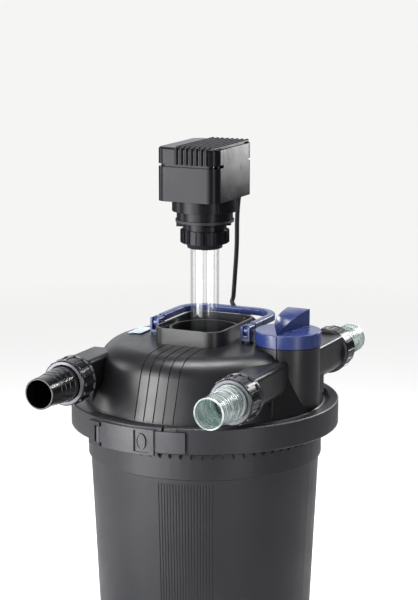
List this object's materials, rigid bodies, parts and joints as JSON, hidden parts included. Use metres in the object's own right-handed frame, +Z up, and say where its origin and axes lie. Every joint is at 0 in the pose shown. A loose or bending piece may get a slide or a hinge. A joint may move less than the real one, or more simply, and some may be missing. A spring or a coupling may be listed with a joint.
{
  "type": "pressurized pond filter",
  "caption": "Round pressurized pond filter: clamped dome lid, hose connections, flow selector, foam-cleaning handle, and a UVC lamp head on a quartz sleeve drawn lifted out of its socket",
  "frame": {"origin": "Centre of the tank's base, on the floor.", "axes": "+Z is up along the tank's axis. -Y is the front, where the inlet and the drain point. +X is the side with the selector knob."},
  "size_m": [0.38, 0.508, 0.8027],
  "materials": {
    "tank_plastic": "semi-matte dark grey moulded plastic",
    "lid_plastic": "semi-matte dark grey moulded plastic",
    "ring_plastic": "semi-matte dark grey moulded plastic",
    "inner_plastic": "matte black moulded plastic",
    "nut_plastic": "satin black moulded plastic",
    "clear_plastic": "clear moulded plastic",
    "blue_plastic": "satin navy blue plastic",
    "head_plastic": "gloss black moulded plastic",
    "lamp_base": "white lamp cap plastic",
    "lamp_glass": "clear lamp glass",
    "quartz": "clear quartz",
    "seal_rubber": "matte rubber",
    "cord_rubber": "matte black rubber",
    "foam": "open-cell filter foam",
    "steel": "stainless steel",
    "ballast_case": "grey potted ballast",
    "label": "blank pale sticker"
  },
  "bodies": {
    "root": {"tank": "tank_plastic", "tank_seal": "seal_rubber", "ring_hinge_pin": "steel", "lid": "lid_plastic", "lid_label": "label", "rod_seals": "seal_rubber", "inlet_gasket": "seal_rubber", "drain_gasket": "seal_rubber", "outlet_gasket": "seal_rubber", "inlet_tail": "nut_plastic", "drain_tail": "clear_plastic", "outlet_tail": "clear_plastic", "uv_chamber": "inner_plastic", "upper_press_plate": "inner_plastic", "foam_ring_1": "foam", "foam_ring_2": "foam", "foam_ring_3": "foam", "foam_ring_4": "foam", "power_cord": "cord_rubber", "mains_plug": "cord_rubber"},
    "ring_left": {"clamp_ring_left": "ring_plastic", "latch_pin": "steel"},
    "ring_right": {"clamp_ring_right": "ring_plastic"},
    "latch": {"latch_lever": "ring_plastic"},
    "button": {"latch_button": "ring_plastic"},
    "inlet_nut": {"inlet_union_nut": "nut_plastic"},
    "drain_nut": {"drain_union_nut": "nut_plastic"},
    "outlet_nut": {"outlet_union_nut": "nut_plastic"},
    "selector": {"selector_knob": "blue_plastic", "valve_rotor": "inner_plastic", "rotor_seals": "seal_rubber", "knob_screw": "steel"},
    "carriage": {"pull_rod_left": "blue_plastic", "pull_rod_right": "blue_plastic", "lower_press_plate": "inner_plastic", "handle_pins": "steel"},
    "handle": {"cleaning_handle": "blue_plastic"},
    "uvc_head": {"head_housing": "head_plastic", "head_cover": "head_plastic", "cover_screws": "steel", "ballast": "ballast_case", "lamp_holder": "lamp_base", "uvc_lamp": "lamp_glass", "quartz_sleeve": "quartz", "sleeve_seal": "seal_rubber", "head_seal": "seal_rubber", "cable_gland": "head_plastic"},
    "quartz_nut": {"clamp_nut": "head_plastic"}
  },
  "joints": [
    {"name": "ring_left_open", "type": "hinge", "parent": "root", "child": "ring_left", "pos_m": [-0.02742, 0.19508, 0.42], "axis": [0, 0, -1], "range_deg": [0, 6]},
    {"name": "ring_right_open", "type": "hinge", "parent": "root", "child": "ring_right", "pos_m": [-0.02742, 0.19508, 0.42], "axis": [0, 0, 1], "range_deg": [0, 6]},
    {"name": "latch_open", "type": "hinge", "parent": "ring_left", "child": "latch", "pos_m": [-0.07498, -0.17838, 0.42], "axis": [0, 0, -1], "range_deg": [0, 100]},
    {"name": "button_press", "type": "slide", "parent": "latch", "child": "button", "axis": [0.0349, 0.9994, 0], "range_m": [0, 0.0015], "stiffness_N_per_m": 400},
    {"name": "inlet_nut_turn", "type": "hinge", "parent": "root", "child": "inlet_nut", "pos_m": [-0.125, -0.17, 0.485], "axis": [0, -1, 0], "continuous": true},
    {"name": "drain_nut_turn", "type": "hinge", "parent": "root", "child": "drain_nut", "pos_m": [0.125, -0.17, 0.485], "axis": [0, -1, 0], "continuous": true},
    {"name": "outlet_nut_turn", "type": "hinge", "parent": "root", "child": "outlet_nut", "pos_m": [0.125, 0.17, 0.485], "axis": [0, 1, 0], "continuous": true},
    {"name": "selector_turn", "type": "hinge", "parent": "root", "child": "selector", "pos_m": [0.128, 0, 0.49], "axis": [0, 0, 1], "range_deg": [0, 180]},
    {"name": "cleaning_lift", "type": "slide", "parent": "root", "child": "carriage", "axis": [0, 0, 1], "range_m": [0, 0.06], "deforming": ["foam_ring_1", "foam_ring_2", "foam_ring_3", "foam_ring_4"]},
    {"name": "handle_fold", "type": "hinge", "parent": "carriage", "child": "handle", "pos_m": [0, -0.009, 0.542], "axis": [1, 0, 0], "range_deg": [0, 62]},
    {"name": "uvc_lift", "type": "slide", "parent": "root", "child": "uvc_head", "axis": [0, 0, 1], "range_m": [-0.185, 0.15], "deforming": ["power_cord"]},
    {"name": "clamp_nut_turn", "type": "hinge", "parent": "uvc_head", "child": "quartz_nut", "pos_m": [0, 0, 0.67], "axis": [0, 0, 1], "continuous": true}
  ],
  "couplings": [
    {"joint": "ring_right_open", "follows": "ring_left_open", "ratio": 1},
    {"joint": "latch_open", "follows": "ring_left_open", "ratio": 16.5}
  ]
}
